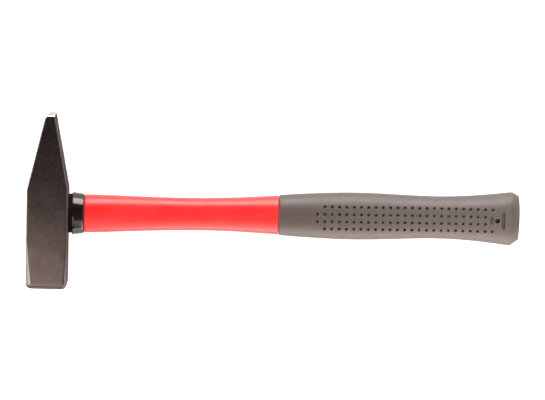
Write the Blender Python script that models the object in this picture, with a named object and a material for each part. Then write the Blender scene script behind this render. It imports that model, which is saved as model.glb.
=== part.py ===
"""A cross peen hammer with a forged head bonded to a fibreglass handle.

Frame: metres. The hammer lies on one cheek of its head, on the plane z = 0. +X runs along the
handle from the head to the butt, +Y runs up the head from the striking face to the peen, and
+Z points up out of the other cheek. The origin is on the lower cheek, straight below the
point where the handle's axis crosses the middle of the eye.
"""

import math

import bmesh
import bpy
from mathutils import Vector

MM = 0.001
GAP = 0.3  # clearance between neighbouring solids

# The driving dimensions, in millimetres.
HEAD_WIDTH = 27.6  # along X
HEAD_THICKNESS = 27.0  # from cheek to cheek, along Z
FACE_Y = -51.0  # the striking face
TIP_Y = 67.1  # the end of the peen
BUTT_X = 318.6  # the end of the grip
COLLAR_FRONT_X = 16.4
COLLAR_BACK_X = 24.6
GRIP_FRONT_X = 155.8
HANDLE_BOW = 2.4  # how much nearer to the peen the butt lies than the neck
AXIS_Z = HEAD_THICKNESS / 2  # the height of the handle's axis over the plane it lies on

# The head.
FACE_ROUNDING = 3.9
OUTER_CHAMFER = 3.3  # at the striking face, on the two corners away from the handle
INNER_CHAMFER = 2.1  # and on the two corners towards the handle
EDGE_BREAK = 0.5  # what is left of the chamfers on the rest of the head
CHAMFERS_FULL_Y = FACE_Y + FACE_ROUNDING
CHAMFERS_END_Y = -17.5
PEEN_START_Y = 16.6
TIP_OUTER_X = -1.75
TIP_INNER_X = 4.3
TIP_ROUNDING = 1.6

# The eye, an oval hole that is wider at its two mouths than in the middle. Sizes are half
# heights along Y and half widths along Z.
EYE_MOUTH = (11.8, 7.8)
EYE_MIDDLE = (10.6, 6.8)
EYE_LEAD = 0.8  # the chamfer around each mouth

# The fibreglass core, an oval rod, and the resin around it. Both stop just short of the mouths.
CORE = (8.0, 5.6)
EYE_RECESS = 0.6
CORE_START_X = -HEAD_WIDTH / 2 + EYE_RECESS
RESIN_END_X = HEAD_WIDTH / 2 - EYE_RECESS
CORE_END_X = 294.0
CORE_CHAMFER = 1.0
CORE_STEP_X = 27.0  # between the sections of its bowed length

# The neck, where the jacket narrows to a spigot inside the gasket and the collar.
SPIGOT = (10.3, 8.4)
GASKET = (13.3, 10.9)
COLLAR_FRONT = (14.5, 11.7)
COLLAR_BACK = (13.4, 11.1)
COLLAR_ROUNDING = 0.9

# Stations along the visible handle: X, half height and its slope, half width and its slope.
JACKET_STATIONS = (
    (COLLAR_BACK_X, 12.8, 0.0, 10.3, -0.05),
    (66.0, 11.55, -0.03, 8.3, -0.02),
    (100.0, 10.95, 0.0, 7.9, 0.0),
    (GRIP_FRONT_X, 13.2, 0.065, 10.5, 0.07),
)
GRIP_STATIONS = (
    (GRIP_FRONT_X, 13.6, 0.07, 11.0, 0.05),
    (208.0, 15.9, 0.0, 12.5, 0.0),
    (262.0, 14.3, 0.0, 11.7, 0.0),
    (312.1, 18.1, 0.13, 13.4, 0.03),
)
SECTION_POWER = 2.35  # of the handle's rounded sections; 2 is an ellipse
RUBBER = 2.8  # the grip's wall over the jacket
TAIL_END_X = 301.0  # the jacket's closed end, inside the grip
TAIL_CHAMFER = 3.0
SHOULDER_BREAK = 0.6
BUTT_CHAMFER_X = 5.6
BUTT_FACE = (14.2, 10.0)
BUTT_DOME = 0.9

# The marks on each side of the grip, near the butt.
PIN_HOLE_X = 302.8
PIN_HOLE_RADIUS = 1.7
PIN_HOLE_DEPTH = 3.0
SLOTS = ((299.0, 2.9), (306.9, 5.9))  # X and half length along Y
SLOT_HALF_WIDTH = 0.9
SLOT_DEPTH = 0.7

SEGMENTS = 40  # around each section
POCKET_SEGMENTS = 16
STEP_X = 8.0  # between sections along the handle


def clear_scene():
    for obj in list(bpy.data.objects):
        bpy.data.objects.remove(obj, do_unlink=True)


def material(name, colour, roughness, metallic):
    made = bpy.data.materials.new(name)
    made.use_nodes = True
    shader = made.node_tree.nodes["Principled BSDF"]
    shader.inputs["Base Color"].default_value = (*colour, 1.0)
    shader.inputs["Roughness"].default_value = roughness
    shader.inputs["Metallic"].default_value = metallic
    return made


def bow(x):
    """How far the handle's middle lies towards the peen at x: it leaves the neck at a slight
    angle and levels out at the butt."""
    left = min(1.0, (BUTT_X - x) / (BUTT_X - COLLAR_BACK_X))
    return HANDLE_BOW * (1 - left**2)


def oval(x, half_height, half_width, power=2.0):
    """A closed ring of points in the plane X = x, around the handle's axis."""
    points = []
    for k in range(SEGMENTS):
        angle = 2 * math.pi * k / SEGMENTS
        c, s = math.cos(angle), math.sin(angle)
        y = math.copysign(abs(c) ** (2 / power), c) * half_height
        z = math.copysign(abs(s) ** (2 / power), s) * half_width
        points.append(Vector((x, bow(x) + y, AXIS_Z + z)))
    return points


def loft(name, rings, closed=False):
    """A solid through rings of equal length. Closed joins the last ring to the first, for a
    sleeve with a hole through it. Otherwise the two end rings are capped."""
    shape = bmesh.new()
    rows = [[shape.verts.new(point * MM) for point in ring] for ring in rings]
    pairs = list(zip(rows, rows[1:]))
    if closed:
        pairs.append((rows[-1], rows[0]))
    else:
        shape.faces.new(rows[0])
        shape.faces.new(rows[-1])
    for first, second in pairs:
        for k in range(len(first)):
            after = (k + 1) % len(first)
            shape.faces.new((first[k], first[after], second[after], second[k]))
    bmesh.ops.recalc_face_normals(shape, faces=shape.faces)
    mesh = bpy.data.meshes.new(name)
    shape.to_mesh(mesh)
    shape.free()
    mesh.shade_smooth()
    mesh.set_sharp_from_angle(angle=math.radians(30))
    obj = bpy.data.objects.new(name, mesh)
    bpy.context.scene.collection.objects.link(obj)
    return obj


def cut(obj, cutter):
    """Takes the cutter's shape out of the object."""
    cutter.hide_render = True
    cutter.display_type = "WIRE"
    modifier = obj.modifiers.new("cut_" + cutter.name, "BOOLEAN")
    modifier.operation = "DIFFERENCE"
    modifier.object = cutter


def hermite(stations, x):
    """The half height and half width at x, on smooth curves through the stations."""
    for (x0, h0, dh0, w0, dw0), (x1, h1, dh1, w1, dw1) in zip(stations, stations[1:]):
        if x <= x1:
            break
    span = x1 - x0
    t = (x - x0) / span
    start, end = 2 * t**3 - 3 * t**2 + 1, 3 * t**2 - 2 * t**3
    rise, fall = (t**3 - 2 * t**2 + t) * span, (t**3 - t**2) * span
    return (
        start * h0 + end * h1 + rise * dh0 + fall * dh1,
        start * w0 + end * w1 + rise * dw0 + fall * dw1,
    )


def steps(start, end, step=STEP_X):
    """Evenly spaced values from start to end, about a step apart."""
    count = max(1, round((end - start) / step))
    return [start + (end - start) * k / count for k in range(count + 1)]


def quarter_turn(count):
    """(in, along) pairs of a quarter round of radius 1, from its flat end to its side."""
    angles = [math.pi / 2 * k / count for k in range(count + 1)]
    return [(1 - math.sin(a), 1 - math.cos(a)) for a in angles]


# The head


def head_section(y, outer_x, inner_x, outer_chamfer, inner_chamfer, inset=0.0):
    """A rectangle with cut corners in the plane Y = y. The inset moves every side inwards."""
    left, right = outer_x + inset, inner_x - inset
    bottom, top = inset, HEAD_THICKNESS - inset
    lost = inset * (2 - math.sqrt(2))
    a, b = (max(EDGE_BREAK, c - lost) for c in (outer_chamfer, inner_chamfer))
    corners = [
        (left + a, bottom),
        (right - b, bottom),
        (right, bottom + b),
        (right, top - b),
        (right - b, top),
        (left + a, top),
        (left, top - a),
        (left, bottom + a),
    ]
    return [Vector((x, y, z)) for x, z in corners]


def head_sections():
    """From the striking face, up the body and the tapered peen, to its tip."""
    half = HEAD_WIDTH / 2
    chamfers = (OUTER_CHAMFER, INNER_CHAMFER)
    sections = [
        head_section(FACE_Y + FACE_ROUNDING * along, -half, half, *chamfers, FACE_ROUNDING * inwards)
        for inwards, along in quarter_turn(4)
    ]
    sections.append(head_section(CHAMFERS_END_Y, -half, half, EDGE_BREAK, EDGE_BREAK))
    sections.append(head_section(PEEN_START_Y, -half, half, EDGE_BREAK, EDGE_BREAK))
    taper = (TIP_Y - TIP_ROUNDING - PEEN_START_Y) / (TIP_Y - PEEN_START_Y)
    outer = -half + (TIP_OUTER_X + half) * taper
    inner = half + (TIP_INNER_X - half) * taper
    for inwards, along in reversed(quarter_turn(3)):
        y = TIP_Y - TIP_ROUNDING * along
        narrowing = TIP_ROUNDING * inwards
        section = head_section(y, outer + narrowing, inner - narrowing, EDGE_BREAK, EDGE_BREAK)
        sections.append(section)
    return sections


def eye_cutter():
    half = HEAD_WIDTH / 2
    beyond = 1.0
    mouth_y, mouth_z = EYE_MOUTH
    flare = EYE_LEAD + beyond
    rings = [oval(-half - beyond, mouth_y + flare, mouth_z + flare)]
    rings += [oval(x, *eye_size(x)) for x in steps(EYE_LEAD - half, half - EYE_LEAD, 4.0)]
    rings.append(oval(half + beyond, mouth_y + flare, mouth_z + flare))
    return loft("eye_cutter", rings)


def eye_size(x):
    """The eye's half height and half width at x: narrowest in the middle, on a parabola."""
    out = (x / (HEAD_WIDTH / 2)) ** 2
    return [middle + (mouth - middle) * out for middle, mouth in zip(EYE_MIDDLE, EYE_MOUTH)]


def make_head(steel):
    head = loft("head", head_sections())
    cut(head, eye_cutter())
    head.data.materials.append(steel)


# What holds the handle in the head


def core_bends():
    """Where the rod and the jacket's bore have their sections, to follow the handle's bow."""
    return steps(COLLAR_BACK_X, CORE_END_X - CORE_CHAMFER, CORE_STEP_X)


def make_core(fibreglass):
    """The rod from the eye's outer mouth to near the butt."""
    height, width = CORE
    rings = [oval(x, height, width) for x in (CORE_START_X, *core_bends())]
    rings.append(oval(CORE_END_X, height - CORE_CHAMFER, width - CORE_CHAMFER))
    core = loft("fibreglass_core", rings)
    core.data.materials.append(fibreglass)


def make_resin(epoxy):
    """The epoxy between the core and the eye: wedge-shaped both ways, so it can't pull out."""
    core_y, core_z = CORE
    outside = []
    for x in steps(CORE_START_X, RESIN_END_X, 4.0):
        eye_y, eye_z = eye_size(x)
        outside.append(oval(x, eye_y - GAP, eye_z - GAP))
    bore = [oval(x, core_y + GAP, core_z + GAP) for x in (RESIN_END_X, CORE_START_X)]
    resin = loft("eye_resin", outside + bore, closed=True)
    resin.data.materials.append(epoxy)


# The neck


def make_gasket(rubber):
    """A flat ring that seals the eye's inner mouth against the resin."""
    height, width = GASKET
    front, back = HEAD_WIDTH / 2 + GAP, COLLAR_FRONT_X - GAP
    bore_y, bore_z = (size + GAP for size in SPIGOT)
    rings = [
        oval(front, height, width),
        oval(back, height, width),
        oval(back, bore_y, bore_z),
        oval(front, bore_y, bore_z),
    ]
    gasket = loft("neck_gasket", rings, closed=True)
    gasket.data.materials.append(rubber)


def make_collar(plastic):
    """A tapered ring around the jacket's spigot, with its two outer edges rounded."""
    length = COLLAR_BACK_X - COLLAR_FRONT_X
    bore_y, bore_z = (size + GAP for size in SPIGOT)
    rounding = [(COLLAR_ROUNDING * a, COLLAR_ROUNDING * b) for a, b in quarter_turn(3)]
    outline = [(along, inwards) for inwards, along in rounding]
    outline += [(length - along, inwards) for inwards, along in reversed(rounding)]
    rings = []
    for along, inwards in outline:
        share = along / length
        height, width = (
            front + (back - front) * share - inwards
            for front, back in zip(COLLAR_FRONT, COLLAR_BACK)
        )
        rings.append(oval(COLLAR_FRONT_X + along, height, width))
    rings.append(oval(COLLAR_BACK_X, bore_y, bore_z))
    rings.append(oval(COLLAR_FRONT_X, bore_y, bore_z))
    collar = loft("collar", rings, closed=True)
    collar.data.materials.append(plastic)


# The jacket and the grip


def skin(stations, x, inset=0.0):
    """The handle's section at x, moved inwards by the inset."""
    height, width = hermite(stations, x)
    return oval(x, height - inset, width - inset, SECTION_POWER)


def tail_stations():
    """The grip's stations less its wall, without the flare at the butt."""
    inner = [(x, h - RUBBER, dh, w - RUBBER, dw) for x, h, dh, w, dw in GRIP_STATIONS[:-1]]
    return [*inner, (TAIL_END_X, *inner[-1][1:])]


def make_jacket(plastic):
    """The plastic moulded over the core: a spigot, the visible neck, and a tail in the grip."""
    spigot_start = HEAD_WIDTH / 2 + GAP
    neck_start, neck_end = COLLAR_BACK_X + GAP, GRIP_FRONT_X - 2 * GAP
    bevel = SHOULDER_BREAK
    tail = tail_stations()
    rings = [oval(x, *SPIGOT) for x in (spigot_start, neck_start)]
    rings.append(skin(JACKET_STATIONS, neck_start, bevel))
    rings += [skin(JACKET_STATIONS, x) for x in steps(neck_start + bevel, neck_end - bevel)]
    rings.append(skin(JACKET_STATIONS, neck_end, bevel))
    rings.append(oval(neck_end, *hermite(tail, GRIP_FRONT_X), SECTION_POWER))
    rings += [skin(tail, x) for x in steps(GRIP_FRONT_X, TAIL_END_X - TAIL_CHAMFER)]
    rings.append(skin(tail, TAIL_END_X, TAIL_CHAMFER))
    jacket = loft("handle_jacket", rings)
    bore_y, bore_z = (size + GAP for size in CORE)
    bore_xs = (spigot_start - 1.0, *core_bends(), CORE_END_X + GAP)
    cut(jacket, loft("core_bore", [oval(x, bore_y, bore_z) for x in bore_xs]))
    jacket.data.materials.append(plastic)


def pocket(name, x, radius, half_length, depth, side):
    """A cutter for a round-ended mark pressed into the grip, to a depth below its skin."""
    _, surface = hermite(GRIP_STATIONS, x)
    rings = []
    for z in (surface - depth, surface + 2.0):
        ring = []
        for k in range(POCKET_SEGMENTS):
            angle = 2 * math.pi * (k + 0.5) / POCKET_SEGMENTS
            y = radius * math.sin(angle)
            y += bow(x) + math.copysign(half_length - radius, y)
            ring.append(Vector((x + radius * math.cos(angle), y, AXIS_Z + side * z)))
        rings.append(ring)
    return loft(name, rings)


def make_grip(rubber):
    """The rubber moulded over the jacket's tail, swelling under the palm and at the butt."""
    flare_x = BUTT_X - BUTT_DOME - BUTT_CHAMFER_X
    bevel = SHOULDER_BREAK
    rings = [skin(GRIP_STATIONS, GRIP_FRONT_X, bevel)]
    rings += [skin(GRIP_STATIONS, x) for x in steps(GRIP_FRONT_X + bevel, flare_x)]
    for height_left, share in ((1.0, 1.0), (1 / 3, 0.75), (0.0, 0.35)):
        face_y, face_z = (size * share for size in BUTT_FACE)
        rings.append(oval(BUTT_X - BUTT_DOME * height_left, face_y, face_z, SECTION_POWER))
    grip = loft("grip", rings)
    tail = tail_stations()
    hollow_xs = steps(GRIP_FRONT_X, TAIL_END_X + GAP)
    hollow = [skin(tail, x, -GAP) for x in hollow_xs]
    height, width = hermite(tail, GRIP_FRONT_X)
    hollow.insert(0, oval(GRIP_FRONT_X - 1.0, height + GAP, width + GAP, SECTION_POWER))
    cut(grip, loft("tail_hollow", hollow))
    for side, word in ((1, "upper"), (-1, "lower")):
        radius = PIN_HOLE_RADIUS
        hole = pocket(f"pin_hole_{word}", PIN_HOLE_X, radius, radius, PIN_HOLE_DEPTH, side)
        cut(grip, hole)
        for x, half_length in SLOTS:
            name = f"slot_{round(x)}_{word}"
            cut(grip, pocket(name, x, SLOT_HALF_WIDTH, half_length, SLOT_DEPTH, side))
    grip.data.materials.append(rubber)


def build():
    clear_scene()
    make_head(material("dark_steel", (0.07, 0.058, 0.054), 0.45, 0.6))
    make_core(material("fibreglass", (0.62, 0.60, 0.42), 0.5, 0.0))
    make_resin(material("epoxy", (0.03, 0.03, 0.032), 0.3, 0.0))
    make_gasket(material("gasket_rubber", (0.01, 0.009, 0.009), 0.8, 0.0))
    make_collar(material("gloss_black", (0.015, 0.014, 0.014), 0.12, 0.0))
    make_jacket(material("red_plastic", (0.85, 0.05, 0.045), 0.3, 0.0))
    make_grip(material("grey_rubber", (0.16, 0.12, 0.10), 0.75, 0.0))


build()
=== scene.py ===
"""The looks of a cross peen hammer: a fine mesh and a material for each of its seven pieces.

Lengths are in millimetres until a mesh is made, and MM turns them into metres. The frame is the
CAD model's: the hammer lies on one cheek on z = 0, +X runs along the handle to the butt, and +Y
runs up the head to the peen.
"""

import math

import bmesh
import bpy
import numpy as np
from mathutils import Matrix, Vector, noise


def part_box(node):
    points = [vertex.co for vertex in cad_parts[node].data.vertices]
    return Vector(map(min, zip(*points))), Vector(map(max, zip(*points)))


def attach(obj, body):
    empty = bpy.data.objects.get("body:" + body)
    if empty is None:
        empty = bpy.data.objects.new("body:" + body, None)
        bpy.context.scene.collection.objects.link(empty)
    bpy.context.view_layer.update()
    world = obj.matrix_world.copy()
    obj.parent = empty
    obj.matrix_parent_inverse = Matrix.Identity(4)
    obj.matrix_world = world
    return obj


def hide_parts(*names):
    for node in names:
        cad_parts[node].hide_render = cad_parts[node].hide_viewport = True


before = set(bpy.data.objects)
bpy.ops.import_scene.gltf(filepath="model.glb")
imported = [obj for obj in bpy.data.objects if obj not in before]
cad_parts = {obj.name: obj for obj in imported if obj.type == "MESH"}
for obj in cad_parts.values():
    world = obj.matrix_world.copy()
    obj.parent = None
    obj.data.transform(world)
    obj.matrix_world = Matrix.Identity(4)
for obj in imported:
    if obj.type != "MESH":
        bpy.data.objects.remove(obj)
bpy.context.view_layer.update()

MM = 0.001


def cad_box(node):
    """A CAD node's lowest and highest corners, in millimetres."""
    low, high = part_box(node)
    return np.array(low) / MM, np.array(high) / MM


HEAD_LOW, HEAD_HIGH = cad_box("head")
CORE_LOW, CORE_HIGH = cad_box("fibreglass_core")
RESIN_LOW, RESIN_HIGH = cad_box("eye_resin")
COLLAR_LOW, COLLAR_HIGH = cad_box("collar")
JACKET_LOW, JACKET_HIGH = cad_box("handle_jacket")
GRIP_LOW, GRIP_HIGH = cad_box("grip")

HALF = (HEAD_HIGH[0] - HEAD_LOW[0]) / 2  # half the head's width
AXIS_Z = (HEAD_LOW[2] + HEAD_HIGH[2]) / 2  # the height of the handle's axis
FACE_Y = HEAD_LOW[1]
TIP_Y = HEAD_HIGH[1]
GAP = 0.3  # between hidden faces that are bonded together
SEAM_GAP = 0.05  # and where their joint shows
BORE_GAP = 0.1  # between a ring or a moulding and what it is fitted around
RESIN_GAP = 0.08  # between the epoxy and the eye

# The camera: how far away it is, and how far it leans from straight above the hammer.
CAMERA_DISTANCE = 2200.0
CAMERA_TARGET = (151.3, 11.8, AXIS_Z)
CAMERA_TO_PEEN = math.radians(7.3)
CAMERA_TO_HEAD = math.radians(1.24)
CAMERA_ROLL = math.radians(1.38)
FIELD_WIDTH = 367.9  # what the picture's width takes in at that distance
SENSOR_WIDTH = 36.0

# The room, in metres and in the picture's own brightness, where 1 is white.
FLOOR_REACH = 4.0
FLOOR_DROP = 0.0002  # how far the floor lies under the hammer
TABLE_GLOW = 0.8
HORIZON = 6.5
HORIZON_TOP = 0.3  # the sine of the angle at which the horizon's glow ends
OVERHEAD = 0.03

SOFTBOXES = (  # name, middle, aim, size, radiance, colour, spread in degrees
    ("softbox_peen", (0.27, 0.914, 0.407), (0.27, 0, 0), (0.84, 0.57), 11.5, (1.03, 0.94, 0.91), 180),
    ("softbox_face", (0.58, -0.28, 0.25), (0.58, 0, 0.25), (1.04, 0.5), 2.8, (1.12, 0.98, 0.9), 130),
    ("softbox_low", (-0.12, -0.235, 0.3), (-0.12, -0.175, 0), (0.3, 0.34), 2.3, (1.1, 0.98, 0.92), 180),
    ("softbox_head", (-0.75, 0.0, 0.17), (0, 0, 0), (0.9, 0.34), 6.0, (1, 1, 1), 180),
    ("softbox_butt", (0.35, -0.02, 0.32), (0.33, 0, 0), (0.2, 0.2), 4.4, (1, 1, 1), 180),
)

# The head.
FACE_ROUNDING = 3.9
FACE_CROWN = 0.4
OUTER_CHAMFER = 3.3
INNER_CHAMFER = 2.1
EDGE_BREAK = 0.5
EDGE_FILLET = 0.75
OUTER_CHAMFER_END_Y = -17.5
INNER_CHAMFER_END_Y = -22.0
PEEN_START_Y = 16.6
PEEN_BEND = 1.6  # half the length over which the body turns into the taper
TIP_OUTER_X = -1.75
TIP_INNER_X = 4.3
TIP_OUTER_ROUNDING = 2.3
TIP_INNER_ROUNDING = 0.6
TIP_CHEEK_ROUNDING = 0.9

# The eye: half height along Y and half width along Z, at its mouths and in its middle.
EYE_MOUTH = (11.8, 7.8)
EYE_MIDDLE = (10.6, 6.8)
EYE_LEAD = 0.8

# The core, and the neck's rings.
CORE = (8.0, 5.6)
CORE_BREAK = 0.25  # of its sawn edge, in the eye
CORE_CHAMFER = 1.0  # at its other end
RESIN_SAG = 0.55
GASKET_BULGE = 0.35
COLLAR_RIM = 0.9
SPIGOT = (10.3, 8.4)
GASKET = (13.3, 10.9)
COLLAR_FRONT = (14.5, 11.7)
COLLAR_BACK = (13.4, 11.1)

# Stations along the handle: X, half height and its slope, half width and its slope.
GRIP_FRONT_X = GRIP_LOW[0]
BUTT_X = GRIP_HIGH[0]
HANDLE_BOW = 2.4  # how much nearer to the peen the butt lies than the neck
JACKET_STATIONS = (
    (COLLAR_HIGH[0], 12.8, 0.0, 10.3, -0.05),
    (66.0, 11.55, -0.03, 8.3, -0.02),
    (100.0, 10.95, 0.0, 7.9, 0.0),
    (GRIP_FRONT_X, 13.2, 0.065, 10.5, 0.07),
)
GRIP_STATIONS = (
    (GRIP_FRONT_X, 13.6, 0.07, 11.0, 0.05),
    (208.0, 15.9, 0.0, 12.5, 0.0),
    (262.0, 14.3, 0.0, 11.7, 0.0),
    (312.1, 18.1, 0.13, 13.4, 0.03),
)
SECTION_POWER = 2.35  # of the handle's rounded sections; 2 is an ellipse
RUBBER = 2.8  # the grip's wall over the jacket
SEAM_HEIGHT = 0.09  # of the ridge along the jacket, where the mould's halves met
SHOULDER = 0.7  # the rounding of the jacket's two shoulders
GRIP_ROUNDING = 0.9  # of the grip's front edge
TAIL_END_X = JACKET_HIGH[0]
TAIL_CHAMFER = 3.0
BUTT_FACE = (14.2, 10.0)
BUTT_DOME = 0.9
BUTT_CHAMFER_X = 5.6
BUTT_SKEW = 1.5  # how much nearer to the end the chamfer starts on the side towards the peen

# The dimples lie in square cells, four rows of them on each side of the grip.
ROWS = 4
CELL = 4.913
FIRST_DIMPLE_X = 181.5
COLUMNS = 25
CELL_STEPS = 4
DIMPLE_PROFILE = (  # radius and depth, from the flat skin down to the floor
    (1.6, 0.0),
    (1.25, 0.0),
    (1.07, 0.03),
    (0.98, 0.12),
    (0.94, 0.3),
    (0.88, 1.3),
    (0.78, 1.9),
    (0.45, 2.08),
)
DIMPLE_DEPTH = 2.1

# The marks near the butt.
PIN_HOLE = (302.8, 1.7, 1.7, 6.0)  # X, radius, half length along Y, depth
SLOTS = ((299.0, 0.85, 2.9, 1.2), (306.9, 0.95, 5.9, 1.2))
FLARE_END_X = 312.0  # just short of the butt's chamfer, where the skin's stations end


# Camera, floor and light


def make_camera():
    target = Vector(CAMERA_TARGET) * MM
    back = Vector((-math.sin(CAMERA_TO_HEAD), math.sin(CAMERA_TO_PEEN), 0.0))
    back.z = math.sqrt(1 - back.length_squared)
    across = Vector((0, 1, 0)).cross(back).normalized()
    turn = Matrix((across, back.cross(across), back)).transposed().to_4x4()
    data = bpy.data.cameras.new("camera")
    data.sensor_width = SENSOR_WIDTH
    data.lens = SENSOR_WIDTH * CAMERA_DISTANCE / FIELD_WIDTH
    data.clip_end = 20.0
    camera = bpy.data.objects.new("camera", data)
    place = Matrix.Translation(target + back * CAMERA_DISTANCE * MM)
    camera.matrix_world = place @ turn @ Matrix.Rotation(CAMERA_ROLL, 4, "Z")
    bpy.context.scene.collection.objects.link(camera)
    bpy.context.scene.camera = camera


def panel(name, middle, aim, size, radiance, colour, spread):
    """A softbox with two level edges, its middle and aim in metres. A narrow spread is a grid
    over it, which dims it for what lies off to its side."""
    data = bpy.data.lights.new(name, "AREA")
    data.shape = "RECTANGLE"
    data.size, data.size_y = size
    data.energy = radiance * math.pi * size[0] * size[1]
    data.color = colour
    data.spread = math.radians(spread)
    back = (Vector(middle) - Vector(aim)).normalized()
    across = Vector((0, 0, 1)).cross(back).normalized()
    light = bpy.data.objects.new(name, data)
    turn = Matrix((across, back.cross(across), back)).transposed().to_4x4()
    light.matrix_world = Matrix.Translation(middle) @ turn
    light.visible_camera = False
    bpy.context.scene.collection.objects.link(light)


def make_floor():
    """A large pale table, softly lit from within."""
    mesh = bpy.data.meshes.new("floor")
    reach = FLOOR_REACH
    corners = [(-reach, -reach, 0), (reach, -reach, 0), (reach, reach, 0), (-reach, reach, 0)]
    mesh.from_pydata(corners, [], [(0, 1, 2, 3)])
    floor = bpy.data.objects.new("floor", mesh)
    floor.location.z = -FLOOR_DROP
    bpy.context.scene.collection.objects.link(floor)
    pale, _, _ = new_material(
        "pale_table",
        Base_Color=(0.6, 0.6, 0.6),
        Roughness=0.9,
        Emission_Color=(1.0, 1.0, 1.0),
        Emission_Strength=TABLE_GLOW,
    )
    mesh.materials.append(pale)


def make_room():
    """A room that is white at the horizon and nearly black overhead, and its softboxes."""
    world = bpy.data.worlds.new("room")
    world.use_nodes = True
    tree = world.node_tree
    direction = add_node(tree, "ShaderNodeTexCoord")
    split = add_node(tree, "ShaderNodeSeparateXYZ", {"Vector": direction.outputs["Generated"]})
    rise = remap(tree, split.outputs["Z"], 0.0, HORIZON_TOP, 1.0, 0.0)
    strength = remap(tree, maths(tree, "POWER", rise, 2.0), 0.0, 1.0, OVERHEAD, HORIZON)
    tree.nodes["Background"].inputs["Color"].default_value = (1, 1, 1, 1)
    tree.links.new(strength, tree.nodes["Background"].inputs["Strength"])
    bpy.context.scene.world = world
    bpy.context.scene.view_settings.view_transform = "Standard"
    for softbox in SOFTBOXES:
        panel(*softbox)


# Mesh building


def mesh_object(name, points, faces, sharp=35.0):
    """A smooth-shaded object from points in millimetres."""
    shape = bmesh.new()
    verts = [shape.verts.new(Vector(p) * MM) for p in points]
    for face in faces:
        shape.faces.new([verts[k] for k in face])
    bmesh.ops.recalc_face_normals(shape, faces=shape.faces)
    mesh = bpy.data.meshes.new(name)
    shape.to_mesh(mesh)
    shape.free()
    mesh.shade_smooth()
    mesh.set_sharp_from_angle(angle=math.radians(sharp))
    obj = bpy.data.objects.new(name, mesh)
    bpy.context.scene.collection.objects.link(obj)
    return obj


def strip_faces(first, second):
    """Quads between two closed loops of vertex numbers."""
    count = len(first)
    after = [(k + 1) % count for k in range(count)]
    return [(first[k], first[after[k]], second[after[k]], second[k]) for k in range(count)]


def loft(name, rings, joined=False, sharp=35.0):
    """A solid through closed rings. Its ends are closed with a fan to their middles, or, when
    joined, the last ring meets the first."""
    count = len(rings[0])
    points = np.concatenate([*rings, [np.mean(rings[0], 0)], [np.mean(rings[-1], 0)]])
    loops = [list(range(r * count, (r + 1) * count)) for r in range(len(rings))]
    faces = [face for pair in zip(loops, loops[1:]) for face in strip_faces(*pair)]
    if joined:
        points = points[:-2]
        faces += strip_faces(loops[-1], loops[0])
    else:
        for loop, middle in ((loops[0], len(points) - 2), (loops[-1], len(points) - 1)):
            faces += [(loop[k - 1], loop[k], middle) for k in range(count)]
    return mesh_object(name, points, faces, sharp)


def apply_cuts(obj, cutters, sharp=35.0):
    """Takes the cutters out of the object's mesh and deletes them."""
    for cutter in cutters:
        modifier = obj.modifiers.new("cut", "BOOLEAN")
        modifier.operation = "DIFFERENCE"
        modifier.solver = "EXACT"
        modifier.object = cutter
    graph = bpy.context.evaluated_depsgraph_get()
    mesh = bpy.data.meshes.new_from_object(obj.evaluated_get(graph))
    obj.modifiers.clear()
    obj.data = mesh
    mesh.shade_smooth()
    mesh.set_sharp_from_angle(angle=math.radians(sharp))
    for cutter in cutters:
        bpy.data.objects.remove(cutter, do_unlink=True)


def ramp_between(start, end, step):
    """Evenly spaced values from start to end, about a step apart."""
    return np.linspace(start, end, max(1, round(abs(end - start) / step)) + 1)


def quarter_round(count):
    """(inwards, along) pairs of a quarter round of radius 1, from its flat end to its side."""
    angles = np.linspace(0, math.pi / 2, count + 1)
    return [(1 - math.sin(a), 1 - math.cos(a)) for a in angles]


def hermite(stations, x):
    """The half height and half width at x, on smooth curves through the stations."""
    for (x0, h0, dh0, w0, dw0), (x1, h1, dh1, w1, dw1) in zip(stations, stations[1:]):
        if x <= x1:
            break
    span = x1 - x0
    t = (x - x0) / span
    start, end = 2 * t**3 - 3 * t**2 + 1, 3 * t**2 - 2 * t**3
    rise, fall = (t**3 - 2 * t**2 + t) * span, (t**3 - t**2) * span
    return (
        start * h0 + end * h1 + rise * dh0 + fall * dh1,
        start * w0 + end * w1 + rise * dw0 + fall * dw1,
    )


def bow(x):
    """How far the handle's middle lies towards the peen at x: it leaves the neck at a slight
    angle and levels out at the butt."""
    left = min(1.0, (BUTT_X - x) / (BUTT_X - COLLAR_HIGH[0]))
    return HANDLE_BOW * (1 - left**2)


def oval(x, half_height, half_width, power=2.0, angles=96):
    """A closed ring in the plane X = x around the handle's axis. Angles are a count, or the
    ring's own list of them."""
    if isinstance(angles, int):
        angles = 2 * np.pi * np.arange(angles) / angles
    c, s = np.cos(angles), np.sin(angles)
    y = np.sign(c) * np.abs(c) ** (2 / power) * half_height
    z = np.sign(s) * np.abs(s) ** (2 / power) * half_width
    return np.stack([np.full_like(y, x), bow(x) + y, AXIS_Z + z], 1)


# The head


def bend(y, start, reach, slope):
    """A line that leaves zero at start, eased over the reach on either side of it."""
    if y <= start - reach:
        return 0.0
    if y >= start + reach:
        return slope * (y - start)
    return slope * (y - start + reach) ** 2 / (4 * reach)


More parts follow.
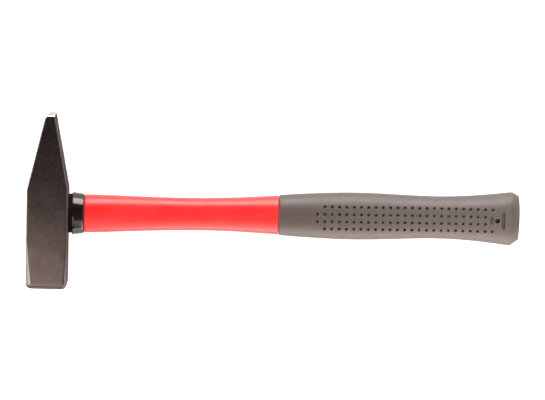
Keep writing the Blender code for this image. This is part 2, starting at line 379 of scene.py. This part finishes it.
def rounded_outline(corners, fillet, side_steps):
    """A closed outline through the corners, each with a small round, and with side_steps[k]
    steps along the side that starts at corner k."""
    arc_steps = 3
    outline = []
    count = len(corners)
    rounds = []
    for k in range(count):
        before, here, after = (np.array(corners[j % count]) for j in (k - 1, k, k + 1))
        inward, outward = before - here, after - here
        length_in, length_out = np.linalg.norm(inward), np.linalg.norm(outward)
        inward, outward = inward / length_in, outward / length_out
        half_angle = math.acos(np.clip(inward @ outward, -1, 1)) / 2
        reach = min(fillet / math.tan(half_angle), 0.45 * length_in, 0.45 * length_out)
        start, end = here + inward * reach, here + outward * reach
        arc = []
        for t in np.linspace(0, 1, arc_steps + 1):
            first, second = start + (here - start) * t, here + (end - here) * t
            arc.append(first + (second - first) * t)
        rounds.append(arc)
    for k in range(count):
        outline += rounds[k]
        start, end = rounds[k][-1], rounds[(k + 1) % count][0]
        for t in np.linspace(0, 1, side_steps[k] + 1)[1:-1]:
            outline.append(start + (end - start) * t)
    return outline


def head_outline(left, right, inset, outer_chamfer, inner_chamfer):
    """The head's section between left and right, moved inwards by the inset."""
    left, right = left + inset, right - inset
    bottom, top = HEAD_LOW[2] + inset, HEAD_HIGH[2] - inset
    lost = inset * (2 - math.sqrt(2))
    room = min(right - left, top - bottom) * 0.2
    a, b = (min(room, max(EDGE_BREAK, c - lost)) for c in (outer_chamfer, inner_chamfer))
    corners = [
        (left + a, bottom),
        (right - b, bottom),
        (right, bottom + b),
        (right, top - b),
        (right - b, top),
        (left + a, top),
        (left, top - a),
        (left, bottom + a),
    ]
    return rounded_outline(corners, EDGE_FILLET, (22, 3, 22, 3, 22, 3, 22, 3))


def head_sides(y):
    """The section's left and right sides and its two chamfers at y."""
    slope_out = (TIP_OUTER_X + HALF) / (TIP_Y - PEEN_START_Y)
    slope_in = (TIP_INNER_X - HALF) / (TIP_Y - PEEN_START_Y)
    left = -HALF + bend(y, PEEN_START_Y, PEEN_BEND, slope_out)
    right = HALF + bend(y, PEEN_START_Y, PEEN_BEND, slope_in)
    full_y = FACE_Y + FACE_ROUNDING
    chamfers = []
    for size, end in ((OUTER_CHAMFER, OUTER_CHAMFER_END_Y), (INNER_CHAMFER, INNER_CHAMFER_END_Y)):
        slope = (size - EDGE_BREAK) / (end - full_y)
        chamfers.append(EDGE_BREAK + bend(-y, -end, 1.5, slope))
    return left, right, *chamfers


def head_rings():
    """From the middle of the striking face, up the body and the taper, to the tip."""
    rings = []

    def add(y, left, right, inset, outer, inner):
        outline = np.array(head_outline(left, right, inset, outer, inner))
        rings.append(np.stack([outline[:, 0], np.full(len(outline), y), outline[:, 1]], 1))

    left, right, outer, inner = head_sides(FACE_Y + FACE_ROUNDING)
    face_half = HALF - FACE_ROUNDING
    for share in (0.12, 0.3, 0.48, 0.66, 0.84):
        y = FACE_Y + FACE_CROWN * share**2
        add(y, left, right, FACE_ROUNDING + face_half * (1 - share), outer, inner)
    for inwards, along in quarter_round(9):
        y = FACE_Y + FACE_CROWN + (FACE_ROUNDING - FACE_CROWN) * along
        add(y, left, right, FACE_ROUNDING * inwards, outer, inner)
    tip_start = TIP_Y - TIP_OUTER_ROUNDING
    for y in ramp_between(FACE_Y + FACE_ROUNDING, tip_start, 1.1)[1:]:
        left, right, outer, inner = head_sides(y)
        add(y, left, right, 0.0, outer, inner)
    for _, along in reversed(quarter_round(9)[:-1]):
        y = TIP_Y - TIP_OUTER_ROUNDING * along
        left, right, outer, inner = head_sides(y)
        left += TIP_OUTER_ROUNDING * tip_narrowing(y, TIP_OUTER_ROUNDING)
        right -= TIP_INNER_ROUNDING * tip_narrowing(y, TIP_INNER_ROUNDING)
        inset = TIP_CHEEK_ROUNDING * tip_narrowing(y, TIP_CHEEK_ROUNDING)
        add(y, left - inset, right + inset, inset, outer, inner)
    return rings


def tip_narrowing(y, radius):
    """How far a quarter round of that radius at the tip has turned inwards at y."""
    depth = np.clip(1 - (TIP_Y - y) / radius, 0, 1)
    return 1 - math.sqrt(1 - depth**2)


def eye_size(x):
    """The eye's half height and half width at x: narrowest in the middle, on a parabola."""
    out = min(1.0, (x / HALF) ** 2)
    return [middle + (mouth - middle) * out for middle, mouth in zip(EYE_MIDDLE, EYE_MOUTH)]


def eye_cutter():
    """The eye, with its mouths rounded over, running past both sides of the head."""
    sections = []
    for inwards, along in quarter_round(5):
        sections.append((HALF - EYE_LEAD * along, EYE_LEAD * inwards))
    beyond = 1.0
    sections = [(HALF + beyond, EYE_LEAD + beyond), *sections]
    inside = [(x, 0.0) for x in ramp_between(HALF - EYE_LEAD, EYE_LEAD - HALF, 2.0)[1:-1]]
    mirrored = [(-x, flare) for x, flare in reversed(sections)]
    rings = []
    for x, flare in sections + inside + mirrored:
        height, width = eye_size(x)
        rings.append(oval(x, height + flare, width + flare))
    return loft("eye_cutter", rings)


def forge(obj, coarse=0.05, coarse_length=14.0, fine=0.018, fine_length=3.5):
    """Presses shallow waves of two lengths into the forged skin, at most about a tenth of a
    millimetre deep, and leaves the ground face and tip alone."""
    mesh = obj.data
    normals = [v.normal.copy() for v in mesh.vertices]
    for vertex, normal in zip(mesh.vertices, normals):
        place = vertex.co / MM
        ground = max(
            0.0,
            1 - (place.y - FACE_Y) / (FACE_ROUNDING * 1.5),
            1 - (TIP_Y - place.y) / 4.0,
        )
        wave = coarse * noise.noise(place / coarse_length)
        wave += fine * noise.noise(place / fine_length)
        inward = min(0.0, wave - coarse * 0.5)
        vertex.co += normal * inward * max(0.0, 1 - ground) * MM


def make_head():
    head = loft("head_forging", head_rings(), sharp=60)
    forge(head)
    apply_cuts(head, [eye_cutter()], sharp=50)
    return head


# What holds the handle in the head


def make_core():
    """The glass-fibre rod, sawn off square with its edges broken."""
    height, width = CORE
    start, end, broken = CORE_LOW[0], CORE_HIGH[0], CORE_BREAK
    rings = []
    for x, inset in ((start, 3.0), (start, broken), (start + broken, 0.0)):
        rings.append(oval(x, height - inset, width - inset))
    chamfer = CORE_CHAMFER
    rings += [oval(x, height, width) for x in ramp_between(start + chamfer, end - chamfer, 8.0)]
    rings += [oval(end, height - chamfer, width - chamfer)]
    return loft("core_rod", rings)


def make_resin():
    """The epoxy around the core, drawn up a little against both walls where it shows."""
    core_y, core_z = (size + BORE_GAP for size in CORE)
    start, end = RESIN_LOW[0], RESIN_HIGH[0]
    rings = []
    for x in ramp_between(start, end, 2.0):
        eye_y, eye_z = eye_size(x)
        rings.append(oval(x, eye_y - RESIN_GAP, eye_z - RESIN_GAP))
    rings += [oval(x, core_y, core_z) for x in (end, start)]
    for share in np.linspace(0, 1, 9)[1:-1]:
        eye_y, eye_z = eye_size(start)
        sag = RESIN_SAG * math.sin(math.pi * share)
        half_y = core_y + (eye_y - RESIN_GAP - core_y) * share
        half_z = core_z + (eye_z - RESIN_GAP - core_z) * share
        rings.append(oval(start + sag, half_y, half_z))
    return loft("resin_fill", rings, joined=True)


# The neck


def make_gasket():
    """A soft ring, squeezed into a slight bulge between the head and the collar."""
    start, end = HALF + SEAM_GAP, COLLAR_LOW[0] - SEAM_GAP
    rings = []
    for t in np.linspace(0, 1, 9):
        bulge = GASKET_BULGE * math.sin(math.pi * t) - GASKET_BULGE
        x = start + (end - start) * t
        rings.append(oval(x, GASKET[0] + bulge, GASKET[1] + bulge))
    bore_y, bore_z = (size + BORE_GAP for size in SPIGOT)
    rings += [oval(x, bore_y, bore_z) for x in (end, start)]
    return loft("gasket_ring", rings, joined=True)


def make_collar():
    """A tapered ring with rounded edges."""
    start, end = COLLAR_LOW[0], COLLAR_HIGH[0]
    length = end - start
    rim = COLLAR_RIM
    outline = [(rim * along, rim * inwards) for inwards, along in quarter_round(6)]
    outline += [(x, 0.0) for x in np.linspace(rim, length - rim, 8)[1:-1]]
    back_round = reversed(quarter_round(6))
    outline += [(length - rim * along, rim * inwards) for inwards, along in back_round]
    rings = []
    for along, inwards in outline:
        share = along / length
        height, width = (
            front + (back - front) * share - inwards
            for front, back in zip(COLLAR_FRONT, COLLAR_BACK)
        )
        rings.append(oval(start + along, height, width))
    bore_y, bore_z = (size + BORE_GAP for size in SPIGOT)
    rings += [oval(x, bore_y, bore_z) for x in (end, start)]
    return loft("collar_ring", rings, joined=True)


# The jacket and the grip


def seam_angles(count):
    """Ring angles that are even but for a few close ones at the two sides, where the mould's
    halves met, and how much of the seam's ridge each angle carries."""
    quarter = np.linspace(0, math.pi / 2, count // 4 + 1)[1:]
    near = np.array([0.0, 0.006, 0.016, 0.03])
    first = np.concatenate([near, quarter])
    ridge = np.concatenate([[1.0, 0.8, 0.0, 0.0], np.zeros(len(quarter))])
    half = np.concatenate([first, np.pi - first[-2::-1]])
    half_ridge = np.concatenate([ridge, ridge[-2::-1]])
    angles = np.concatenate([half, half[1:-1] + np.pi])
    return angles, np.concatenate([half_ridge, half_ridge[1:-1]])


def skin(stations, x, angles, inset=0.0, ridge=None):
    """The handle's section at x, moved inwards by the inset."""
    height, width = hermite(stations, x)
    ring = oval(x, height - inset, width - inset, SECTION_POWER, angles)
    if ridge is not None:
        ring[:, 1] += np.sign(ring[:, 1] - bow(x)) * ridge * SEAM_HEIGHT
    return ring


def tail_stations():
    """The grip's stations less its wall, without the flare at the butt."""
    inner = [(x, h - RUBBER, dh, w - RUBBER, dw) for x, h, dh, w, dw in GRIP_STATIONS[:-1]]
    return [*inner, (TAIL_END_X, *inner[-1][1:])]


def make_jacket():
    """Bore, spigot, visible neck with rounded shoulders, and the tail inside the grip."""
    angles, ridge = seam_angles(112)
    start = JACKET_LOW[0]
    neck_start, neck_end = COLLAR_HIGH[0] + SEAM_GAP, GRIP_FRONT_X - GAP
    shoulder = SHOULDER
    tail = tail_stations()
    bore_y, bore_z = (size + BORE_GAP for size in CORE)
    bore_xs = ramp_between(CORE_HIGH[0] + GAP, start, 8.0)
    rings = [oval(x, bore_y, bore_z, 2, angles) for x in bore_xs]
    rings += [oval(x, *SPIGOT, 2, angles) for x in (start, neck_start)]
    for inwards, along in quarter_round(5):
        x = neck_start + shoulder * along
        rings.append(skin(JACKET_STATIONS, x, angles, shoulder * inwards))
    for x in ramp_between(neck_start + shoulder, neck_end - shoulder, 2.5)[1:-1]:
        rings.append(skin(JACKET_STATIONS, x, angles, 0.0, ridge))
    for inwards, along in reversed(quarter_round(5)):
        x = neck_end - shoulder * along
        rings.append(skin(JACKET_STATIONS, x, angles, shoulder * inwards))
    height, width = hermite(tail, GRIP_FRONT_X)
    rings.append(oval(neck_end, height, width, SECTION_POWER, angles))
    tail_xs = ramp_between(GRIP_FRONT_X, TAIL_END_X - TAIL_CHAMFER, 6.0)
    rings += [skin(tail, x, angles) for x in tail_xs]
    rings.append(skin(tail, TAIL_END_X, angles, TAIL_CHAMFER))
    return loft("jacket_moulding", rings)


def grip_angles(x):
    """Ring angles at x: over the dimpled band they fall on the cells' lines, and past its ends
    they stay as they are there."""
    first = FIRST_DIMPLE_X - CELL / 2
    x = np.clip(x, first, first + COLUMNS * CELL)
    height, _ = hermite(GRIP_STATIONS, x)
    reach = ROWS / 2 * CELL
    lines = np.linspace(-reach, reach, ROWS * CELL_STEPS + 1)
    c = np.sign(lines) * (np.abs(lines) / height) ** (SECTION_POWER / 2)
    top = np.arccos(c)
    edge = top[-1]
    side = np.concatenate([np.linspace(edge, 0.03, 10)[1:], [0.016, 0.006, 0.0]])
    right = np.concatenate([side, -side[-2::-1]])
    bottom = -top[::-1]
    left = np.pi + right
    return np.concatenate([top, right, bottom, left])


def grip_ring(x, inset=0.0):
    height, width = hermite(GRIP_STATIONS, x)
    return oval(x, height - inset, width - inset, SECTION_POWER, grip_angles(x))


def grip_surface(x, y):
    """The skin's height over the handle's axis at x and y."""
    height, width = hermite(GRIP_STATIONS, x)
    return width * (1 - (abs(y - bow(x)) / height) ** SECTION_POWER) ** (1 / SECTION_POWER)


def has_dimple(column, row):
    """The two inner rows start one cell nearer the head than the two outer rows."""
    return column < COLUMNS - 1 if row in (1, 2) else column > 0


def make_grip():
    """Hollow for the jacket's tail, a dimpled skin, a flared butt and a shallow dome."""
    flare_x = BUTT_X - BUTT_DOME - BUTT_CHAMFER_X
    first_cell = FIRST_DIMPLE_X - CELL / 2
    last_cell = first_cell + COLUMNS * CELL
    tail = tail_stations()
    rounding = GRIP_ROUNDING
    hollow_angles = grip_angles(GRIP_FRONT_X)
    rings = []
    for x in (TAIL_END_X + GAP, *ramp_between(TAIL_END_X + GAP, GRIP_FRONT_X, 6.0)):
        inset = -GAP if rings else TAIL_CHAMFER
        rings.append(skin(tail, x, hollow_angles, inset))
    for inwards, along in quarter_round(5):
        rings.append(grip_ring(GRIP_FRONT_X + rounding * along, rounding * inwards))
    front_xs = ramp_between(GRIP_FRONT_X + rounding, first_cell, 1.5)[1:-1]
    rings += [grip_ring(x) for x in front_xs]
    cell_start = len(rings)
    rings += [grip_ring(x) for x in ramp_between(first_cell, last_cell, CELL / CELL_STEPS)]
    cell_end = len(rings) - 1
    rings += [grip_ring(x) for x in ramp_between(last_cell, flare_x - 0.6, 1.2)[1:]]
    rings += butt_rings(flare_x)
    count = len(rings[0])
    points = list(np.concatenate(rings))
    loops = [list(range(r * count, (r + 1) * count)) for r in range(len(rings))]
    band = ROWS * CELL_STEPS + 1
    bottom_start = count // 2
    faces = []
    cells = set()
    for r, (first, second) in enumerate(zip(loops, loops[1:])):
        for k, face in enumerate(strip_faces(first, second)):
            cell = dimple_cell(r, k, cell_start, cell_end, band, bottom_start)
            if cell is None:
                faces.append(face)
            else:
                cells.add(cell)
    for side, column, row in sorted(cells):
        dimple(points, faces, loops, cell_start, column, row, side, bottom_start)
    for loop, x in ((loops[0], rings[0][0][0]), (loops[-1], BUTT_X)):
        points.append(np.array((x, bow(x), AXIS_Z)))
        faces += [(loop[k - 1], loop[k], len(points) - 1) for k in range(count)]
    grip = mesh_object("grip_moulding", points, faces, sharp=40)
    marks = (PIN_HOLE, *SLOTS)
    apply_cuts(grip, [pocket(mark, side) for side in (1, -1) for mark in marks], 40)
    return grip


def butt_rings(flare_x):
    """The chamfer behind the flare, with its two edges softened, and the dome."""
    (height, width), (end_y, end_z) = hermite(GRIP_STATIONS, flare_x), BUTT_FACE
    angles = grip_angles(BUTT_X)
    towards_peen = np.maximum(0, np.cos(angles))
    rings = []
    for t in np.linspace(0, 1, 9):
        x = flare_x + BUTT_CHAMFER_X * t
        y = height + (end_y - height) * t
        z = width + (end_z - width) * t
        ring = oval(x, y, z, SECTION_POWER, angles)
        ring[:, 0] += BUTT_SKEW * (1 - t) * towards_peen
        ring[:, 1] += BUTT_SKEW * t * towards_peen
        rings.append(ring)
    for share in (0.95, 0.85, 0.7, 0.5, 0.3, 0.12):
        x = BUTT_X - BUTT_DOME * share**2.2
        ring = oval(x, end_y * share, end_z * share, SECTION_POWER, angles)
        ring[:, 1] += BUTT_SKEW * share * towards_peen
        rings.append(ring)
    return rings


def dimple_cell(r, k, cell_start, cell_end, band, bottom_start):
    """Which dimpled cell the quad after ring r and point k lies in, or None."""
    if not cell_start <= r < cell_end:
        return None
    for side, start in ((1, 0), (-1, bottom_start)):
        if start <= k < start + band - 1:
            column, row = (r - cell_start) // CELL_STEPS, (k - start) // CELL_STEPS
            if has_dimple(column, row):
                return side, column, row
    return None


def dimple(points, faces, loops, cell_start, column, row, side, bottom_start):
    """Fills one cell with a round pit and the flat skin around it."""
    start = 0 if side == 1 else bottom_start
    first_ring, first_point = cell_start + column * CELL_STEPS, start + row * CELL_STEPS
    walk = [(0, k) for k in range(CELL_STEPS)]
    walk += [(k, CELL_STEPS) for k in range(CELL_STEPS)]
    walk += [(CELL_STEPS, CELL_STEPS - k) for k in range(CELL_STEPS)]
    walk += [(CELL_STEPS - k, 0) for k in range(CELL_STEPS)]
    loop = [loops[first_ring + a][first_point + b] for a, b in walk]
    edge = np.array([points[k] for k in loop])
    middle_x, middle_y = edge[:, 0].mean(), edge[:, 1].mean()
    bearings = np.arctan2(edge[:, 1] - middle_y, edge[:, 0] - middle_x)
    bearings = np.round(bearings / (math.pi / 8)) * (math.pi / 8)
    for radius, depth in (*DIMPLE_PROFILE, (0.0, DIMPLE_DEPTH)):
        if radius == 0.0:
            z = AXIS_Z + side * (grip_surface(middle_x, middle_y) - depth)
            points.append(np.array((middle_x, middle_y, z)))
            faces.extend((loop[k - 1], loop[k], len(points) - 1) for k in range(len(loop)))
            return
        inner = []
        for bearing in bearings:
            x, y = middle_x + radius * math.cos(bearing), middle_y + radius * math.sin(bearing)
            points.append(np.array((x, y, AXIS_Z + side * (grip_surface(x, y) - depth))))
            inner.append(len(points) - 1)
        faces.extend(strip_faces(loop, inner))
        loop = inner


def pocket(mark, side):
    """A cutter for a round-ended mark near the butt, with a softened rim."""
    middle_x, radius, half_length, depth = mark
    count = 32
    rings = []
    for grow, rise in ((-0.45, -depth), (0.0, -0.2), (0.25, 0.03), (0.5, 1.5)):
        ring = []
        for k in range(count):
            angle = 2 * math.pi * (k + 0.5) / count
            across, along = math.cos(angle) * (radius + grow), math.sin(angle) * (radius + grow)
            x = middle_x + across
            y = bow(middle_x) + along + math.copysign(half_length - radius, along)
            ring.append((x, y, AXIS_Z + side * (grip_surface(min(x, FLARE_END_X), y) + rise)))
        rings.append(np.array(ring))
    return loft("pocket", rings)


# Materials


def new_material(name, **settings):
    """A Principled material and its node tree. The settings are constants on the shader."""
    made = bpy.data.materials.new(name)
    made.use_nodes = True
    shader = made.node_tree.nodes["Principled BSDF"]
    for key, value in settings.items():
        socket = shader.inputs[key.replace("_", " ")]
        socket.default_value = (*value, 1.0) if isinstance(value, tuple) else value
    return made, made.node_tree, shader


def add_node(tree, kind, inputs=(), **settings):
    """A node with its settings and inputs, each a constant or another node's output."""
    made = tree.nodes.new(kind)
    for key, value in settings.items():
        setattr(made, key, value)
    for key, value in dict(inputs).items():
        if isinstance(value, bpy.types.NodeSocket):
            tree.links.new(value, made.inputs[key])
        else:
            made.inputs[key].default_value = value
    return made


def place(tree, stretch=(1, 1, 1)):
    """Coordinates in the piece's own frame, in metres, squeezed along each axis."""
    coordinates = add_node(tree, "ShaderNodeTexCoord")
    mapping = add_node(tree, "ShaderNodeMapping", {
        "Vector": coordinates.outputs["Object"],
        "Scale": stretch,
    })
    return mapping.outputs["Vector"]


def mottle(tree, size, detail=3.0, stretch=(1, 1, 1), rough=0.55):
    """Noise whose features are about that many millimetres across, from 0 to 1."""
    made = add_node(tree, "ShaderNodeTexNoise", {
        "Vector": place(tree, stretch),
        "Scale": 1 / (size * MM),
        "Detail": detail,
        "Roughness": rough,
    })
    return made.outputs["Fac"]


def remap(tree, value, low, high, to_low=0.0, to_high=1.0):
    made = add_node(tree, "ShaderNodeMapRange", {
        "Value": value,
        "From Min": low,
        "From Max": high,
        "To Min": to_low,
        "To Max": to_high,
    })
    return made.outputs["Result"]


def blend_colours(tree, amount, first, second):
    made = add_node(tree, "ShaderNodeMix", data_type="RGBA")
    for key, value in ((0, amount), (6, first), (7, second)):
        if isinstance(value, bpy.types.NodeSocket):
            tree.links.new(value, made.inputs[key])
        else:
            made.inputs[key].default_value = value if key == 0 else (*value, 1.0)
    return made.outputs[2]


def maths(tree, operation, first, second=0.0):
    made = add_node(tree, "ShaderNodeMath", {0: first, 1: second}, operation=operation)
    return made.outputs[0]


def relief(tree, shader, layers):
    """Bump from (height, depth in millimetres) layers."""
    normal = None
    for height, depth in layers:
        inputs = {"Height": height, "Distance": depth * MM, "Strength": 1.0}
        if normal is not None:
            inputs["Normal"] = normal
        normal = add_node(tree, "ShaderNodeBump", inputs).outputs["Normal"]
    tree.links.new(normal, shader.inputs["Normal"])


def axis_value(tree, axis):
    """The surface point's X, Y or Z in the piece's own frame, in metres."""
    split = add_node(tree, "ShaderNodeSeparateXYZ", {"Vector": place(tree)})
    return split.outputs[axis]


def head_material():
    """Dark lacquer over forged steel, duller on the flanks, with a ground face and tip."""
    made, tree, shader = new_material(
        "lacquered_steel",
        Metallic=1.0,
        Specular_Tint=(0.15, 0.15, 0.15),
    )
    bands = mottle(tree, 7.0, 3.0, (1, 0.3, 1))
    medium, fine = mottle(tree, 3.0, 3.0), mottle(tree, 0.5, 2.0)
    tip, face = ground_areas(tree)
    ground = maths(tree, "MAXIMUM", tip, face)
    banding = remap(tree, bands, 0.3, 0.7)
    clouding = remap(tree, medium, 0.35, 0.75, 0.0, 0.6)
    dark = blend_colours(tree, banding, (0.1, 0.079, 0.074), (0.13, 0.104, 0.098))
    lacquer = blend_colours(tree, clouding, dark, (0.125, 0.1, 0.095))
    bright = blend_colours(tree, fine, (0.85, 0.83, 0.81), (0.95, 0.94, 0.92))
    dull = blend_colours(tree, medium, (0.26, 0.25, 0.24), (0.36, 0.35, 0.34))
    steel = blend_colours(tree, tip, dull, bright)
    tree.links.new(blend_colours(tree, ground, lacquer, steel), shader.inputs["Base Color"])
    lacquer_rough = remap(tree, medium, 0.3, 0.7, 0.26, 0.3)
    flank = remap(tree, maths(tree, "ABSOLUTE", facing(tree, "X")), 0.7, 0.9)
    skin_rough = add_node(tree, "ShaderNodeMix", {0: flank, 2: lacquer_rough, 3: 0.6})
    rough = add_node(tree, "ShaderNodeMix", {0: ground, 2: skin_rough.outputs[0], 3: 0.38})
    tree.links.new(rough.outputs[0], shader.inputs["Roughness"])
    scratches = maths(tree, "MULTIPLY", mottle(tree, 0.35, 2.0, (0.06, 1, 1)), ground)
    relief(tree, shader, [(medium, 0.003), (fine, 0.001), (scratches, 0.01)])
    return made


def facing(tree, axis):
    """How squarely the surface faces along the piece's own X, Y or Z."""
    normal = add_node(tree, "ShaderNodeTexCoord").outputs["Normal"]
    return add_node(tree, "ShaderNodeSeparateXYZ", {"Vector": normal}).outputs[axis]


def ground_areas(tree):
    """Two masks: 1 on the ground end of the peen, and 1 on the striking face."""
    y = axis_value(tree, "Y")
    near_tip = remap(tree, y, (TIP_Y - 2.6) * MM, (TIP_Y - 2.2) * MM)
    tip = maths(tree, "MULTIPLY", near_tip, remap(tree, facing(tree, "Y"), 0.3, 0.45))
    face = remap(tree, y, (FACE_Y + 1.0) * MM, (FACE_Y + 0.6) * MM)
    return tip, face


def collar_material():
    made, tree, shader = new_material("gloss_black", IOR=1.5)
    smudge, dust = mottle(tree, 5.0, 4.0), mottle(tree, 0.6, 2.0)
    dusting = remap(tree, dust, 0.6, 0.8)
    tone = blend_colours(tree, dusting, (0.008, 0.004, 0.0035), (0.02, 0.014, 0.012))
    tree.links.new(tone, shader.inputs["Base Color"])
    tree.links.new(remap(tree, smudge, 0.3, 0.7, 0.12, 0.2), shader.inputs["Roughness"])
    relief(tree, shader, [(smudge, 0.01)])
    return made


def gasket_material():
    made, tree, shader = new_material("black_rubber", IOR=1.15)
    patches, grain = mottle(tree, 2.0), mottle(tree, 0.25)
    fading = remap(tree, patches, 0.3, 0.8)
    tone = blend_colours(tree, fading, (0.009, 0.003, 0.002), (0.014, 0.006, 0.005))
    tree.links.new(tone, shader.inputs["Base Color"])
    tree.links.new(remap(tree, grain, 0.3, 0.7, 0.8, 0.95), shader.inputs["Roughness"])
    relief(tree, shader, [(grain, 0.03)])
    return made


def jacket_material():
    """Moulded red plastic: faint flow marks along it, and a slight orange peel."""
    made, tree, shader = new_material("red_plastic", IOR=1.49)
    flow, cloud = mottle(tree, 4.0, 3.0, (0.12, 1, 1)), mottle(tree, 14.0, 2.0)
    peel = mottle(tree, 1.6, 2.0)
    streaks = remap(tree, flow, 0.3, 0.7)
    clouding = remap(tree, cloud, 0.35, 0.75, 0.0, 0.5)
    body = blend_colours(tree, streaks, (0.7, 0.012, 0.012), (0.8, 0.018, 0.017))
    tone = blend_colours(tree, clouding, body, (0.78, 0.028, 0.026))
    tree.links.new(tone, shader.inputs["Base Color"])
    tree.links.new(remap(tree, cloud, 0.3, 0.7, 0.34, 0.4), shader.inputs["Roughness"])
    relief(tree, shader, [(peel, 0.012)])
    return made


def grip_material():
    """Matt thermoplastic rubber with a fine grain and slightly paler specks."""
    made, tree, shader = new_material("grey_rubber", IOR=1.6)
    cloud, speck = mottle(tree, 9.0, 4.0), mottle(tree, 0.7, 3.0)
    grain = mottle(tree, 0.3, 3.0, rough=0.7)
    clouding = remap(tree, cloud, 0.3, 0.7)
    body = blend_colours(tree, clouding, (0.034, 0.023, 0.019), (0.042, 0.029, 0.024))
    tone = blend_colours(tree, remap(tree, speck, 0.35, 0.7), body, (0.07, 0.05, 0.042))
    tree.links.new(tone, shader.inputs["Base Color"])
    tree.links.new(remap(tree, cloud, 0.3, 0.7, 0.5, 0.57), shader.inputs["Roughness"])
    relief(tree, shader, [(grain, 0.07)])
    return made


def resin_material():
    made, tree, shader = new_material("dark_epoxy", IOR=1.55)
    cloud = mottle(tree, 2.5, 3.0)
    bubbles = add_node(tree, "ShaderNodeTexVoronoi", {"Vector": place(tree), "Scale": 900.0})
    tone = blend_colours(tree, cloud, (0.012, 0.012, 0.014), (0.03, 0.028, 0.026))
    tree.links.new(tone, shader.inputs["Base Color"])
    tree.links.new(remap(tree, cloud, 0.3, 0.7, 0.16, 0.3), shader.inputs["Roughness"])
    pits = remap(tree, bubbles.outputs["Distance"], 0.08, 0.2)
    relief(tree, shader, [(pits, 0.05)])
    return made


def core_material():
    """The sawn end of a glass-fibre rod: bundles of fibres in yellowish resin."""
    made, tree, shader = new_material("glass_fibre", IOR=1.52)
    along_rod = place(tree, (0.05, 1, 1))
    bundles = add_node(tree, "ShaderNodeTexVoronoi", {"Vector": along_rod, "Scale": 1600.0})
    saw = mottle(tree, 0.5, 2.0, (1, 0.08, 1))
    cell = remap(tree, bundles.outputs["Distance"], 0.1, 0.6)
    tone = blend_colours(tree, cell, (0.66, 0.64, 0.46), (0.36, 0.34, 0.2))
    tree.links.new(tone, shader.inputs["Base Color"])
    tree.links.new(remap(tree, saw, 0.3, 0.7, 0.4, 0.65), shader.inputs["Roughness"])
    relief(tree, shader, [(cell, 0.03), (saw, 0.03)])
    return made


# Assembly

PIECES = (
    (make_head, head_material, "head", "head_steel"),
    (make_core, core_material, "fibreglass_core", "core_fibreglass"),
    (make_resin, resin_material, "eye_resin", "eye_epoxy"),
    (make_gasket, gasket_material, "neck_gasket", "gasket_rubber"),
    (make_collar, collar_material, "collar", "collar_plastic"),
    (make_jacket, jacket_material, "handle_jacket", "jacket_plastic"),
    (make_grip, grip_material, "grip", "grip_rubber"),
)


def build():
    make_camera()
    make_floor()
    make_room()
    for make_piece, make_material, node, slot in PIECES:
        piece = make_piece()
        piece.data.materials.clear()
        piece.data.materials.append(make_material())
        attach(piece, "root")
        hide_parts(node)


build()
